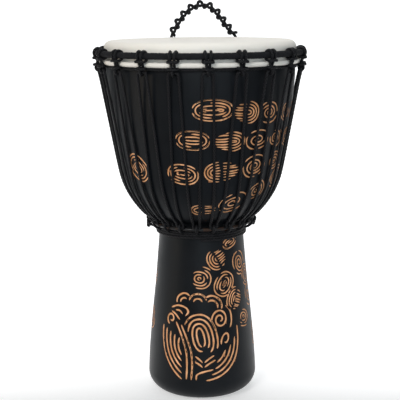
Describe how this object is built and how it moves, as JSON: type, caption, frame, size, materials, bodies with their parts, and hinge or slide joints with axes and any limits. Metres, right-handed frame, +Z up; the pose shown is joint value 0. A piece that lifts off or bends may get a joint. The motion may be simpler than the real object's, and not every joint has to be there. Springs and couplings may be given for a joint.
{
  "type": "djembe",
  "caption": "Goblet hand drum: carved painted wooden shell, goatskin head held by rope-tensioned rings, swinging rope handle; stands on its foot.",
  "frame": {"origin": "centre of the foot, on the surface the drum stands on", "axes": "+Z up along the drum's axis, -Y towards the player's side with the carved foot motif, handle on +Y"},
  "size_m": [0.3528, 0.3528, 0.659],
  "materials": {
    "painted_wood": "satin black paint over carved hardwood, carved lines in bare wood",
    "goatskin": "off-white shaved goatskin, matte",
    "steel": "black-lacquered welded round rod",
    "black_cloth": "wound black cotton strip",
    "black_rope": "braided black polyester rope, low sheen"
  },
  "bodies": {
    "shell": {"shell_foot": "painted_wood", "shell_bowl_base": "painted_wood", "shell_bowl": "painted_wood", "goatskin_head": "goatskin", "goatskin_skirt": "goatskin", "bottom_ring": "steel", "bottom_loop_01": "black_rope", "bottom_loop_02": "black_rope", "bottom_loop_03": "black_rope", "bottom_loop_04": "black_rope", "bottom_loop_05": "black_rope", "bottom_loop_06": "black_rope", "bottom_loop_07": "black_rope", "bottom_loop_08": "black_rope", "bottom_loop_09": "black_rope", "bottom_loop_10": "black_rope", "bottom_loop_11": "black_rope", "bottom_loop_12": "black_rope", "bottom_loop_13": "black_rope", "bottom_loop_14": "black_rope", "bottom_loop_15": "black_rope", "bottom_loop_16": "black_rope", "bottom_loop_17": "black_rope", "bottom_loop_18": "black_rope", "bottom_loop_19": "black_rope", "bottom_loop_20": "black_rope", "lacing_rope": "black_rope", "waist_wrap_rope": "black_rope", "lacing_end_knot": "black_rope", "wrap_end_knot": "black_rope"},
    "tension_rings": {"crown_ring": "steel", "crown_ring_wrap": "black_cloth", "flesh_ring": "steel", "cradle_rope": "black_rope", "crown_loop_01": "black_rope", "crown_loop_02": "black_rope", "crown_loop_03": "black_rope", "crown_loop_04": "black_rope", "crown_loop_05": "black_rope", "crown_loop_06": "black_rope", "crown_loop_07": "black_rope", "crown_loop_08": "black_rope", "crown_loop_09": "black_rope", "crown_loop_10": "black_rope", "crown_loop_11": "black_rope", "crown_loop_12": "black_rope", "crown_loop_13": "black_rope", "crown_loop_14": "black_rope", "crown_loop_15": "black_rope", "crown_loop_16": "black_rope", "crown_loop_17": "black_rope", "crown_loop_18": "black_rope", "crown_loop_19": "black_rope", "crown_loop_20": "black_rope", "handle_tie_left": "black_rope", "handle_tie_right": "black_rope"},
    "handle": {"handle_core_rope": "black_rope", "handle_hitch_rope": "black_rope"}
  },
  "joints": [
    {"name": "head_tension_slide", "type": "slide", "parent": "shell", "child": "tension_rings", "axis": [0, 0, 1], "range_m": [-0.004, 0.01], "deforming": ["lacing_rope", "goatskin_skirt"]},
    {"name": "handle_swing", "type": "hinge", "parent": "tension_rings", "child": "handle", "pos_m": [0, 0.16, 0.593], "axis": [-1, 0, 0], "range_deg": [-30, 110]}
  ]
}
